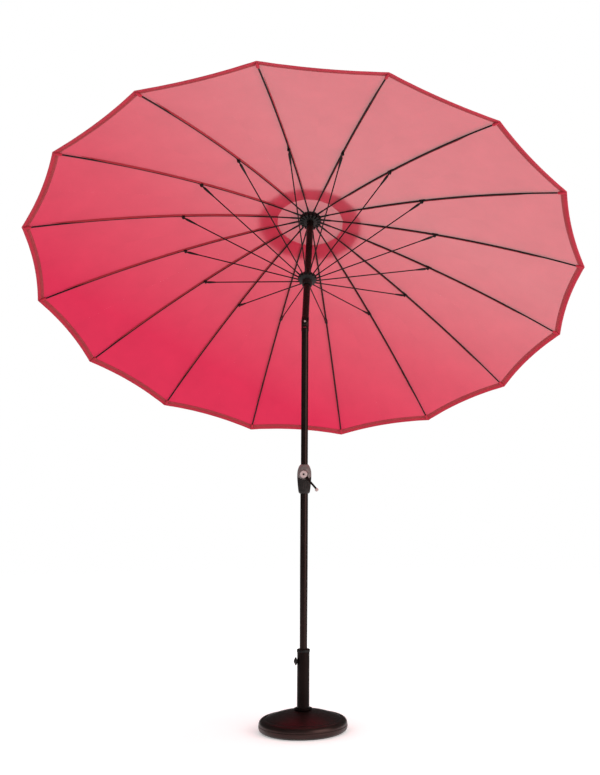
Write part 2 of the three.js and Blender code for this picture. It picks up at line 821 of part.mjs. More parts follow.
function makeTiltFork() {
  const group = new THREE.Group();
  group.position.z = tiltHeight;
  group.add(piece('tilt_fork', tiltFork(), blackMetal()));
  group.add(piece('tilt_pin', barX(pinRadius, -knuckleRadius + 1.5, knuckleRadius - 1.5), steel()));
  return group;
}

const umbrella = new THREE.Group();
umbrella.add(makeBase(), makePoleAndCrank(), makeTiltFork(), makeUpperFrame());

export default umbrella;
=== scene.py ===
"""A tilted crank-lift patio umbrella in its round base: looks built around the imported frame."""
import json
import math

import bpy
from mathutils import Matrix, Vector, noise


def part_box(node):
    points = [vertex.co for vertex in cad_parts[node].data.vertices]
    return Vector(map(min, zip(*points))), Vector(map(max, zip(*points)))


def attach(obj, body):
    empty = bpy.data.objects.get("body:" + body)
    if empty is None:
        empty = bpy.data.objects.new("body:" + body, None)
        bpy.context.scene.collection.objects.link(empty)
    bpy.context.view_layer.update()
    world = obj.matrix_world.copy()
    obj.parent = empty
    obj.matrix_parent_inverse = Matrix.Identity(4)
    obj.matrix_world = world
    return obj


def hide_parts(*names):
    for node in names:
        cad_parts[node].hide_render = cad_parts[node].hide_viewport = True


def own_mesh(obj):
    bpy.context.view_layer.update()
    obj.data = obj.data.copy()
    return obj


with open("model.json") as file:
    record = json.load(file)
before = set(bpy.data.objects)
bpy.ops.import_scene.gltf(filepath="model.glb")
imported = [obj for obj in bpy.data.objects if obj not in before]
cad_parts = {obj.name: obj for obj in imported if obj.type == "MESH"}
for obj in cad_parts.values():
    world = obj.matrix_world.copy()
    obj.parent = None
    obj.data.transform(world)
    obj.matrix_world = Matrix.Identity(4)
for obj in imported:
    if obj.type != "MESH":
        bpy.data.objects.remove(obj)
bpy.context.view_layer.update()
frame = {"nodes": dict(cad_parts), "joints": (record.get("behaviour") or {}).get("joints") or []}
NODES = frame["nodes"]
JOINTS = {joint["name"]: joint for joint in frame["joints"]}

# ------------------------------------------------------------------ sizes, in metres

RIBS = 16
PITCH = 2 * math.pi / RIBS
HUB_PIVOT = 0.046
RIB_SLOPE = 0.197          # fall of a rib for each metre outwards, at the hub
CANOPY_RADIUS = 1.35
CANOPY_DEPTH = 0.428
FABRIC_LIFT = 0.0075       # fabric above a rib's middle
HOLE_RADIUS = 0.168
SCALLOP = 0.017
RIB_RADIUS = 0.004
RIB_TONGUE = 0.006
RIB_END = 1.326
CLIP_RADIUS = 0.632
CLIP_DROP = 0.011
STRUT_RADIUS = 0.003
STRUT_TONGUE = 0.005
RUNNER_PIVOT = 0.040
RUNNER_BELOW_HUB = 0.396
VENT_RADIUS = 0.262
VENT_TOP = 0.027
VENT_SLOPE = 0.176
VENT_HOLE = 0.010
HEM_WIDTH = 0.028
LAYER = 0.0012             # one layer of cloth, with the air under it
REACH = CANOPY_RADIUS - HUB_PIVOT
RIB_CURVE = ((CANOPY_DEPTH + FABRIC_LIFT) / REACH - RIB_SLOPE) / REACH
POLE_WALL = 0.0012
STEM_FOOT = 0.018          # how far the stem's foot reaches beyond its tube
SEAM_START = 0.205         # the seam allowance beside a rib, from the axis
SEAM_END = 1.225
POCKET_START = 1.311       # the pocket that holds a rib's end
POCKET_END = 1.344
STITCH_PITCH = 0.0056
STITCH_LENGTH = 0.0036
STITCH_HALF = 0.00035      # half a stitch's thickness
STITCH_ROWS = (0.0030, HEM_WIDTH - 0.0025)
FLOOR_RADIUS = 9.0


def joint_place(name):
    return Vector(JOINTS[name]["pos_m"])


def joint_axis(name):
    return Vector(JOINTS[name]["axis"]).normalized()


def rib_name(kind, k):
    return f"{kind}_{k + 1:02d}"


HUB = sum((joint_place(rib_name("rib_fold", k)) for k in range(RIBS)), Vector()) / RIBS
UP = -joint_axis("runner_slide")               # along the upper pole
DOWNHILL = joint_axis("tilt_button_press")     # across it, towards the canopy's low side
ACROSS = DOWNHILL.cross(UP)


def placed(origin, x, y, z):
    """The matrix that carries local axes x, y, z to the row frame."""
    matrix = Matrix((x, y, z)).transposed().to_4x4()
    matrix.translation = origin
    return matrix


TOP = placed(HUB, ACROSS, DOWNHILL, UP)
FIRST_RIB = joint_place("rib_fold_01") - HUB
VENT_PHASE = math.atan2(FIRST_RIB.dot(DOWNHILL), FIRST_RIB.dot(ACROSS))


def rib_matrix(k):
    """Local frame of rib k: x outwards, y round the canopy, z along the pole."""
    out = (joint_place(rib_name("rib_fold", k)) - HUB).normalized()
    return placed(HUB, out, UP.cross(out), UP)


# ------------------------------------------------------------------ mesh helpers

def new_object(name, data):
    made = bpy.data.objects.new(name, data)
    bpy.context.scene.collection.objects.link(made)
    return made


class Shape:
    """Points and faces gathered from several forms, each face with its material's number."""

    def __init__(self):
        self.points = []
        self.faces = []
        self.numbers = []

    def add(self, points, faces, matrix=None, number=0):
        start = len(self.points)
        self.points += [matrix @ Vector(p) if matrix else Vector(p) for p in points]
        self.faces += [[start + i for i in face] for face in faces]
        self.numbers += [number] * len(faces)
        return self

    def build(self, name, materials, angle=35.0, bevel=0.0, levels=2):
        mesh = bpy.data.meshes.new(name)
        mesh.from_pydata(self.points, [], self.faces)
        for material in materials:
            mesh.materials.append(material)
        mesh.polygons.foreach_set("material_index", self.numbers)
        mesh.validate()
        piece = new_object(name, mesh)
        finish_mesh(piece, angle, bevel, levels)
        return piece


def finish_mesh(piece, angle, bevel=0.0, levels=2):
    """Faces turned outwards, edges rounded and shading smoothed up to an angle."""
    bpy.context.view_layer.objects.active = piece
    piece.select_set(True)
    bpy.ops.object.mode_set(mode="EDIT")
    bpy.ops.mesh.select_all(action="SELECT")
    bpy.ops.mesh.remove_doubles(threshold=1e-6)
    bpy.ops.mesh.normals_make_consistent(inside=False)
    bpy.ops.object.mode_set(mode="OBJECT")
    if bevel:
        rounding = piece.modifiers.new("rounding", "BEVEL")
        rounding.width = bevel
        rounding.segments = levels
        rounding.limit_method = "ANGLE"
        rounding.angle_limit = math.radians(angle)
        rounding.harden_normals = False
        bpy.ops.object.modifier_apply(modifier=rounding.name)
    piece.data.polygons.foreach_set("use_smooth", [True] * len(piece.data.polygons))
    piece.data.set_sharp_from_angle(angle=math.radians(angle))
    piece.select_set(False)


def rings_faces(rows, count, closed_rows=False, closed_ring=True):
    """Quads between rows of points, one row after another."""
    faces = []
    last = rows if closed_rows else rows - 1
    across = count if closed_ring else count - 1
    for row in range(last):
        nxt = (row + 1) % rows
        for i in range(across):
            j = (i + 1) % count
            faces.append([row * count + i, row * count + j, nxt * count + j, nxt * count + i])
    return faces


def lathe(profile, segments=96, wave=None):
    """A turned form about z from (radius, height) points.

    wave(radius, height, angle) gives the radius to use instead.
    """
    closed_profile = profile[0][0] > 1e-6
    points = []
    for radius, height in profile:
        for i in range(segments):
            angle = 2 * math.pi * i / segments
            r = wave(radius, height, angle) if wave else radius
            points.append((r * math.cos(angle), r * math.sin(angle), height))
    faces = rings_faces(len(profile), segments, closed_rows=closed_profile)
    return points, faces


def pipe(inner, outer, low, high, segments=64, edge=0.0006):
    """A round tube with slightly rounded ends."""
    return lathe([
        (inner, low + edge), (inner + edge, low), (outer - edge, low), (outer, low + edge),
        (outer, high - edge), (outer - edge, high), (inner + edge, high), (inner, high - edge),
    ], segments)


def tube(points, radius, sides=12):
    """A closed round rod along points that lie in a plane with no y; radius may be a list."""
    radii = radius if isinstance(radius, list) else [radius] * len(points)
    sideways = Vector((0, 1, 0))
    rows = []
    for i, point in enumerate(points):
        ahead = points[min(i + 1, len(points) - 1)] - points[max(i - 1, 0)]
        lift = ahead.normalized().cross(sideways)
        for k in range(sides):
            angle = 2 * math.pi * k / sides
            rows.append(point + radii[i] * (math.cos(angle) * sideways + math.sin(angle) * lift))
    count = len(rows)
    faces = rings_faces(len(points), sides)
    faces.append(list(range(sides))[::-1])
    faces.append(list(range(count - sides, count)))
    return rows, faces


def plate(outline, low, high):
    """A flat plate in the xz plane from its outline, between two y values."""
    count = len(outline)
    points = [(x, y, z) for y in (low, high) for x, z in outline]
    faces = rings_faces(2, count)
    faces.append(list(range(count))[::-1])
    faces.append([count + i for i in range(count)])
    return points, faces


def arc(centre, radii, start, end, steps):
    """Points on an arc, angles in degrees, both ends included."""
    turn = [math.radians(start + (end - start) * i / steps) for i in range(steps + 1)]
    return [(centre[0] + radii[0] * math.cos(a), centre[1] + radii[1] * math.sin(a)) for a in turn]


def smooth_line(points, steps=6):
    """A Catmull-Rom curve through (radius, height) points."""
    line = []
    for i in range(len(points) - 1):
        a, b = Vector(points[max(i - 1, 0)]), Vector(points[i])
        c, d = Vector(points[i + 1]), Vector(points[min(i + 2, len(points) - 1)])
        for step in range(steps):
            t = step / steps
            line.append(tuple(0.5 * (2 * b + (c - a) * t + (2 * a - 5 * b + 4 * c - d) * t * t
                                     + (3 * b - a - 3 * c + d) * t ** 3)))
    return line + [tuple(points[-1])]


def dress(piece, body, slot, *nodes):
    """The piece rides on a body and stands for some CAD nodes, which are hidden. slot is not used."""
    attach(piece, body)
    if nodes:
        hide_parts(*nodes)
    return piece


# ------------------------------------------------------------------ materials

class Nodes:
    """A short way to write a material's nodes."""

    def __init__(self, name):
        self.material = bpy.data.materials.new(name)
        self.material.use_nodes = True
        self.tree = self.material.node_tree
        self.shader = self.tree.nodes["Principled BSDF"]
        self.output = self.tree.nodes["Material Output"]

    def node(self, kind, inputs=None, **settings):
        made = self.tree.nodes.new(kind)
        for key, value in settings.items():
            setattr(made, key, value)
        for key, value in (inputs or {}).items():
            self.put(made.inputs[key], value)
        return made

    def put(self, socket, value):
        if isinstance(value, bpy.types.NodeSocket):
            self.tree.links.new(value, socket)
        else:
            socket.default_value = value

    def place(self, scale=(1, 1, 1), uv=False):
        source = self.node("ShaderNodeTexCoord")
        mapping = self.node("ShaderNodeMapping", {"Vector": source.outputs["UV" if uv else "Object"]})
        mapping.inputs["Scale"].default_value = scale
        return mapping.outputs["Vector"]

    def noise(self, vector, scale, detail=4.0, roughness=0.55):
        made = self.node("ShaderNodeTexNoise", {"Vector": vector, "Scale": scale, "Detail": detail,
                                                "Roughness": roughness})
        return made.outputs["Fac"]

    def ramp(self, factor, stops):
        made = self.node("ShaderNodeValToRGB", {"Fac": factor})
        elements = made.color_ramp.elements
        while len(elements) < len(stops):
            elements.new(0.5)
        for element, (position, colour) in zip(elements, stops):
            element.position = position
            element.color = (*colour, 1) if len(colour) == 3 else colour
        return made.outputs["Color"]

    def mix(self, factor, first, second, kind="MIX"):
        made = self.node("ShaderNodeMix", data_type="RGBA", blend_type=kind)
        colours = [s for s in made.inputs if s.type == "RGBA"]
        self.put(made.inputs[0], factor)
        for socket, value in zip(colours, (first, second)):
            self.put(socket, (*value, 1) if isinstance(value, tuple) and len(value) == 3 else value)
        return [s for s in made.outputs if s.type == "RGBA"][0]

    def math(self, operation, first, second=0.5):
        made = self.node("ShaderNodeMath", operation=operation)
        self.put(made.inputs[0], first)
        self.put(made.inputs[1], second)
        return made.outputs[0]

    def bump(self, height, distance, strength=1.0, normal=None):
        made = self.node("ShaderNodeBump", {"Height": height, "Distance": distance, "Strength": strength})
        if normal is not None:
            self.put(made.inputs["Normal"], normal)
        return made.outputs["Normal"]

    def set(self, **values):
        for key, value in values.items():
            self.put(self.shader.inputs[key.replace("_", " ")], value)

    def mix_surface(self, share, second):
        """The surface becomes a mix of its own shader and a share of a second one."""
        both = self.node("ShaderNodeMixShader", {"Fac": share})
        self.tree.links.new(self.shader.outputs[0], both.inputs[1])
        self.tree.links.new(second.outputs[0], both.inputs[2])
        self.tree.links.new(both.outputs[0], self.output.inputs["Surface"])


def grey(value):
    return (value, value, value)


def coated(name, dark, light, rough, metal=0.0, grain=900.0, depth=0.00006, scuff=0.5,
           shine=0.3, tint=(1, 1, 1, 1)):
    """Paint or moulded plastic: a fine texture, uneven gloss and rubbed spots."""
    make = Nodes(name)
    place = make.place()
    clouds = make.noise(place, 9.0, 6.0, 0.6)
    fine = make.noise(place, grain, 3.0)
    rub = make.noise(make.place((1.0, 1.0, 0.25)), 70.0, 8.0, 0.7)
    colour = make.ramp(clouds, [(0.32, dark), (0.72, light)])
    worn = make.ramp(rub, [(0.60, grey(0)), (0.76, grey(scuff))])
    colour = make.mix(worn, colour, tuple(min(1.0, c * 2.2 + 0.012) for c in light))
    gloss = make.ramp(rub, [(0.30, grey(max(rough - 0.10, 0.05))), (0.80, grey(rough + 0.16))])
    bumps = make.bump(fine, depth, 0.7)
    bumps = make.bump(rub, depth * 3, 0.25, bumps)
    make.set(Base_Color=colour, Roughness=gloss, Metallic=metal, Normal=bumps)
    make.set(Specular_IOR_Level=shine, Specular_Tint=tint)
    return make.material


def brushed(name, colour, rough):
    make = Nodes(name)
    lines = make.noise(make.place((60.0, 60.0, 1400.0)), 4.0, 4.0)
    spots = make.noise(make.place(), 55.0, 6.0)
    tone = make.ramp(spots, [(0.35, tuple(0.78 * c for c in colour)), (0.7, colour)])
    gloss = make.ramp(lines, [(0.3, grey(rough - 0.08)), (0.7, grey(rough + 0.14))])
    make.set(Base_Color=tone, Metallic=1.0, Roughness=gloss, Normal=make.bump(lines, 0.00003, 0.5))
    return make.material


def rough_solid(name, dark, light, rough, grain, depth, metal=0.0):
    """Rubber or cast iron: an even pebbled skin."""
    make = Nodes(name)
    place = make.place()
    cells = make.node("ShaderNodeTexVoronoi", {"Vector": place, "Scale": grain}).outputs["Distance"]
    clouds = make.noise(place, 24.0, 8.0, 0.65)
    make.set(Base_Color=make.ramp(clouds, [(0.3, dark), (0.7, light)]), Roughness=rough, Metallic=metal)
    make.set(Normal=make.bump(cells, depth, 0.6, make.bump(clouds, depth * 2, 0.4)))
    return make.material


THREAD = 0.00085           # one thread of the weave and its gap
WAVE_SCALE = 0.318         # gives the weave about one band for each thread
PAINTED_PALENESS_ALONG = (0.42, 0.0, 0.79)     # the direction in which the light coming through is painted paler, in the row frame
PAINTED_PALENESS_START = -1.16
PAINTED_PALENESS_MIDDLE = 0.36         # how far the painted paleness has come half way


def cloth(name, face, through, share, painted_pale=None):
    """Woven polyester: plain weave, slubs and faint creases, lit through from its other side.

    The light coming through turns from through to painted_pale towards the canopy's high side: painted light,
    standing in for the front light that makes that side paler.
    """
    make = Nodes(name)
    count = 1.0 / THREAD
    warp = make.node("ShaderNodeTexWave",
                     {"Vector": make.place((count, 1, 1), uv=True), "Scale": WAVE_SCALE})
    weft = make.node("ShaderNodeTexWave",
                     {"Vector": make.place((1, count, 1), uv=True), "Scale": WAVE_SCALE}, bands_direction="Y")
    slub_warp = make.noise(make.place((900.0, 14.0, 1.0), uv=True), 1.0, 3.0)
    slub_weft = make.noise(make.place((14.0, 900.0, 1.0), uv=True), 1.0, 3.0)
    weave = make.math("MAXIMUM", warp.outputs["Fac"], weft.outputs["Fac"])
    slubs = make.math("ADD", make.math("MULTIPLY", slub_warp, 0.5), make.math("MULTIPLY", slub_weft, 0.5))
    clouds = make.noise(make.place(uv=True), 5.0, 5.0, 0.6)
    creases = make.noise(make.place((22.0, 2.2, 1.0), uv=True), 1.0, 4.0, 0.5)
    speckle = make.noise(make.place(uv=True), 420.0, 2.0)
    tone = make.ramp(clouds, [(0.30, tuple(0.86 * c for c in face)), (0.70, face)])
    tone = make.mix(make.ramp(slubs, [(0.42, grey(0)), (0.60, grey(0.35))]), tone,
                    tuple(min(1.0, 1.22 * c) for c in face))
    tone = make.mix(make.ramp(speckle, [(0.60, grey(0)), (0.72, grey(0.30))]), tone,
                    tuple(0.6 * c for c in face))
    normal = make.bump(creases, 0.004, 0.22)
    normal = make.bump(slubs, 0.0004, 0.45, normal)
    normal = make.bump(weave, 0.00022, 0.6, normal)
    make.set(Base_Color=tone, Roughness=0.82, Normal=normal, Sheen_Weight=0.12)
    make.set(Sheen_Roughness=0.45, Sheen_Tint=(1.0, 0.70, 0.74, 1), Specular_IOR_Level=0.12)
    # Painted light: the colour coming through is painted paler towards the canopy's high side, for how the
    # front light falls there.
    along = make.node("ShaderNodeVectorMath", {0: make.place(), 1: PAINTED_PALENESS_ALONG}, operation="DOT_PRODUCT")
    height = make.math("ADD", along.outputs["Value"], PAINTED_PALENESS_START)
    painted_pale = painted_pale or through
    middle = tuple(a + PAINTED_PALENESS_MIDDLE * (b - a) for a, b in zip(through, painted_pale))
    glow = make.ramp(height, [(0.0, through), (0.5, middle), (1.0, painted_pale)])
    patches = make.mix(make.ramp(clouds, [(0.25, grey(0)), (0.75, grey(1))]), grey(0.93), grey(1.0))
    glow = make.mix(1.0, glow, patches, "MULTIPLY")
    threads = make.mix(make.ramp(slubs, [(0.40, grey(0)), (0.62, grey(1))]), grey(1.0), grey(0.93))
    glow = make.mix(1.0, glow, threads, "MULTIPLY")
    behind = make.node("ShaderNodeBsdfTranslucent", {"Color": glow, "Normal": normal})
    make.mix_surface(share, behind)
    return make.material


# Painted reflection: the black paints' reflections are tinted warm, for the red canopy reflected in the
# metal.
PAINTED_REFLECTION_TINT = (1.0, 0.62, 0.58, 1)
BLACK_METAL = coated("black_paint", (0.0030, 0.0020, 0.0018), (0.0065, 0.0045, 0.0040), 0.30, 0.0, 700.0,
                     scuff=0.10, shine=0.22, tint=PAINTED_REFLECTION_TINT)
STEM_METAL = coated("stem_paint", (0.0024, 0.0018, 0.0017), (0.0050, 0.0038, 0.0035), 0.42, 0.0, 500.0,
                    scuff=0.08, shine=0.10, tint=PAINTED_REFLECTION_TINT)
BASE_METAL = coated("base_paint", (0.0035, 0.0022, 0.0020), (0.0080, 0.0050, 0.0045), 0.38, 0.0, 420.0,
                    0.00016, 0.14, shine=0.5, tint=PAINTED_REFLECTION_TINT)
ROD_BLACK = ((0.0025, 0.0020, 0.0019), (0.0050, 0.0040, 0.0038), 0.42, 0.0)
STRUT_METAL = coated("strut_paint", *ROD_BLACK, 900.0, scuff=0.10, shine=0.15)
RIB_FIBRE = coated("rib_fibreglass", *ROD_BLACK, 1400.0, scuff=0.10, shine=0.15)
BLACK_PLASTIC = coated("black_plastic", (0.0035, 0.0030, 0.0030), (0.0075, 0.0065, 0.0062), 0.45, 0.0, 1200.0,
                       scuff=0.15, shine=0.2)
HOUSING_UPPER = coated("housing_bronze", (0.11, 0.088, 0.085), (0.24, 0.195, 0.19), 0.33, 0.25, 1500.0,
                       scuff=0.15)
HOUSING_GRIP = coated("housing_grip", (0.009, 0.0065, 0.0062), (0.026, 0.019, 0.018), 0.45, 0.1, 1500.0,
                      shine=0.2)
PALE_PLASTIC = coated("pale_plastic", (0.30, 0.22, 0.215), (0.46, 0.36, 0.355), 0.32, 0.0, 1500.0, scuff=0.1)
DARK_SOCKET = coated("dark_socket", (0.006, 0.0045, 0.0045), (0.010, 0.008, 0.0075), 0.6, shine=0.1)
STEEL = brushed("bright_steel", (0.50, 0.50, 0.51), 0.30)
DARK_STEEL = brushed("dark_steel", (0.07, 0.062, 0.060), 0.38)
IRON = rough_solid("cast_iron", (0.035, 0.031, 0.028), (0.075, 0.066, 0.060), 0.72, 420.0, 0.0004, 0.5)
RUBBER = rough_solid("rubber", (0.018, 0.018, 0.018), (0.036, 0.035, 0.034), 0.85, 700.0, 0.0002)
# The last colour is painted light: the canopy's high side painted paler, for the front light falling on it.
PANEL = cloth("canopy_cloth", (0.64, 0.022, 0.070), (0.56, 0.032, 0.082), 0.5, (0.56, 0.35, 0.345))
HEM_FOLD = cloth("hem_cloth", (0.50, 0.030, 0.056), (0.50, 0.03, 0.06), 0.25)
HEM_INNER = cloth("hem_allowance", (0.38, 0.042, 0.052), (0.38, 0.04, 0.06), 0.25)
SEAM = cloth("seam_cloth", (0.48, 0.050, 0.070), (0.45, 0.05, 0.07), 0.25)
THREAD_RED = coated("thread", (0.42, 0.12, 0.14), (0.55, 0.18, 0.20), 0.7, 0.0, 3000.0)

# ------------------------------------------------------------------ base

def node_sizes(node):
    """A round node's largest radius about the pole, and its lowest and highest z."""
    low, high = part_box(node)
    return (high.x - low.x) / 2, low.z, high.z


def make_base():
    radius, low, top = node_sizes("base_cover")
    stem_radius = node_sizes("stem_tube")[0] - STEM_FOOT
    crease, crease_z, groove = 0.177, 0.060, 0.031
    ring_in = crease + 0.004
    outside = [(radius - 0.012, low), (radius - 0.0105, low)]
    outside += smooth_line([(radius - 0.0085, low + 0.0008), (radius - 0.003, low + 0.006),
                            (radius, low + 0.0155), (radius, groove - 0.0016)], 5)
    outside += [(radius - 0.0006, groove - 0.0009), (radius - 0.0026, groove - 0.0004),
                (radius - 0.0026, groove + 0.0004), (radius - 0.0010, groove + 0.0009)]
    outside += arc((ring_in, groove + 0.003), (radius - ring_in - 0.001, crease_z - groove - 0.003),
                   4, 90, 14)
    outside += [(crease + 0.0015, crease_z - 0.0004), (crease, crease_z - 0.0016),
                (crease - 0.0015, crease_z - 0.0006)]
    dome_steps = 24
    for i in range(1, dome_steps + 1):
        r = crease - 0.0015 - (crease - 0.0015 - stem_radius - 0.0015) * i / dome_steps
        outside.append((r, crease_z + (top - crease_z) * (1 - (r / crease) ** 2) - 0.0006))
    inside = [(stem_radius + 0.0004, top - 0.0012), (stem_radius + 0.0003, top - 0.004),
              (crease - 0.004, crease_z - 0.004), (crease + 0.012, 0.0343), (radius - 0.016, low + 0.006),
              (radius - 0.016, low)]
    cover = Shape().add(*lathe(outside + inside, 180)).build("base_cover_shell", [BASE_METAL], 30)
    dress(cover, "base", "black_metal", "base_cover")

    pad_radius, pad_low, pad_high = node_sizes("base_pad")
    pad = Shape().add(*lathe([(0, pad_low), (pad_radius - 0.001, pad_low), (pad_radius, pad_low + 0.001),
                              (pad_radius, pad_high - 0.0008), (pad_radius - 0.0008, pad_high),
                              (0, pad_high)], 120))
    dress(pad.build("ground_pad", [RUBBER]), "base", "rubber_pad", "base_pad")
    set_material("base_ballast", IRON)

    flange_radius, flange_low, flange_high = node_sizes("stem_flange")
    flange = Shape().add(*lathe(
        [(stem_radius + 0.0003, flange_low), (flange_radius - 0.0006, flange_low)]
        + arc((flange_radius - 0.0030, flange_low + 0.0030), (0.0030, 0.0030), -60, 80, 8)
        + [(stem_radius + 0.0022, flange_high), (stem_radius + 0.0006, flange_high - 0.0004),
           (stem_radius + 0.0003, flange_high - 0.001)], 96))
    dress(flange.build("stem_flange_ring", [STEM_METAL]), "base", "black_metal", "stem_flange")

    collar_radius, collar_low, collar_high = node_sizes("stem_collar")
    pole_radius = node_sizes("lower_pole")[0]
    lip_low = collar_high - 0.014
    bore = pole_radius + 0.0004
    collar = [(bore, collar_low), (bore + 0.006, collar_low), (bore + 0.0075, lip_low - 0.001)]
    collar += [(bore + 0.0075, lip_low + 0.0002), (collar_radius - 0.0015, lip_low + 0.0002)]
    collar += arc((collar_radius - 0.0012, lip_low + 0.0014), (0.0012, 0.0012), -80, 0, 4)
    collar += arc((collar_radius - 0.0045, collar_high - 0.0055), (0.0045, 0.0052), 8, 86, 7)
    collar += [(bore + 0.002, collar_high), (bore + 0.0004, collar_high - 0.0005),
               (bore, collar_high - 0.002)]
    dress(Shape().add(*lathe(collar, 96)).build("stem_top_collar", [BLACK_PLASTIC]),
          "base", "black_plastic", "stem_collar")

    tube_low, tube_high = node_sizes("stem_tube")[1], lip_low - 0.0003
    stem = Shape().add(*pipe(stem_radius - 0.0025, stem_radius, tube_low, tube_high, 96))
    foot_in, foot_out, foot_high = stem_radius - 0.0020, stem_radius + STEM_FOOT, tube_low + 0.005
    stem.add(*lathe([(foot_in, tube_low), (foot_out, tube_low), (foot_out, foot_high),
                     (foot_in, foot_high)], 96))
    knob = knob_matrix()
    stem.add(*lathe([(0.0046, stem_radius - 0.0014), (0.0095, stem_radius - 0.0014),
                     (0.0095, stem_radius + 0.0032), (0.0088, stem_radius + 0.0039),
                     (0.0052, stem_radius + 0.0039), (0.0046, stem_radius + 0.0034)], 48), knob)
    dress(stem.build("stem_post", [STEM_METAL]), "base", "black_metal", "stem_tube")


def knob_matrix():
    """Local frame of the clamping knob: its z points away from the stem."""
    out = joint_axis("clamp_knob_turn")
    up = Vector((0, 0, 1))
    return placed(joint_place("clamp_knob_turn"), up.cross(out), up, out)


def make_knob():
    start = node_sizes("stem_tube")[0] - STEM_FOOT + 0.0043
    radius, length = 0.019, 0.012

    def lobes(r, height, angle):
        grip = max(0.0, min(1.0, (r - 0.011) / 0.006))
        return r - grip * 0.0016 * (0.5 + 0.5 * math.cos(6 * angle)) ** 2

    profile = [(0, start), (radius - 0.003, start)]
    profile += smooth_line([(radius - 0.0012, start + 0.0008), (radius, start + 0.0032),
                            (radius - 0.0012, start + 0.0052), (0.0125, start + 0.0076),
                            (0.0072, start + 0.0106), (0.0040, start + length)], 5)
    profile += [(0, start + length + 0.0008)]
    knob = Shape().add(*lathe(profile, 144, lobes), knob_matrix())
    screw_start = node_sizes("lower_pole")[0] + 0.0005
    screw = [(0, screw_start), (0.0030, screw_start), (0.0038, screw_start + 0.0008)]
    screw += [(0.0039 - 0.0004 * (i % 2), screw_start + 0.0015 + 0.0006 * i) for i in range(20)]
    screw += [(0.0038, start + 0.0012), (0, start + 0.0012)]
    knob.add(*lathe(screw, 32), knob_matrix(), 1)
    dress(knob.build("clamp_hand_knob", [BLACK_PLASTIC, STEEL], 40), "clamp_knob", "black_plastic",
          "locking_knob")


# ------------------------------------------------------------------ poles and crank

def set_material(node, material):
    """A CAD node that keeps its shape gets a better surface."""
    mesh = NODES[node].data
    mesh.materials.clear()
    mesh.materials.append(material)


def make_poles():
    for node, name in (("lower_pole", "lower_pole_tube"), ("mid_pole", "middle_pole_tube")):
        radius, low, high = node_sizes(node)
        pole = Shape().add(*pipe(radius - POLE_WALL, radius, low, high, 72))
        dress(pole.build(name, [BLACK_METAL]), "pole", "pole_metal", node)
    along = [(vertex.co - HUB).dot(UP) for vertex in NODES["upper_pole"].data.vertices]
    radius = node_sizes("mid_pole")[0]
    upper = Shape().add(*pipe(radius - POLE_WALL, radius, min(along), max(along), 72), TOP)
    dress(upper.build("upper_pole_tube", [BLACK_METAL]), "upper_frame", "pole_metal", "upper_pole")
    for node, material in (("pole_foot_plug", BLACK_PLASTIC), ("crank_shaft", STEEL),
                           ("tilt_pin", DARK_STEEL), ("hub_wire", STEEL), ("cord_pulley", BLACK_PLASTIC)):
        set_material(node, material)


HOUSING_RADIUS = 0.0335
HOUSING_PROFILE = [(0.60, -1.0), (0.78, -0.90), (0.88, -0.60), (0.97, -0.10), (1.0, 0.30), (0.93, 0.62),
                   (0.76, 0.86), (0.56, 1.0)]
GRIP_RIBS = 20


def housing_wave(middle, half):
    """Upright ribs round the lower part of the housing, fading out above and below."""
    def wave(radius, height, angle):
        level = (height - middle) / half
        share = max(0.0, min(1.0, (level + 0.86) / 0.12)) * max(0.0, min(1.0, (0.02 - level) / 0.10))
        return radius - 0.0011 * share * (0.5 + 0.5 * math.cos(GRIP_RIBS * angle)) ** 3
    return wave


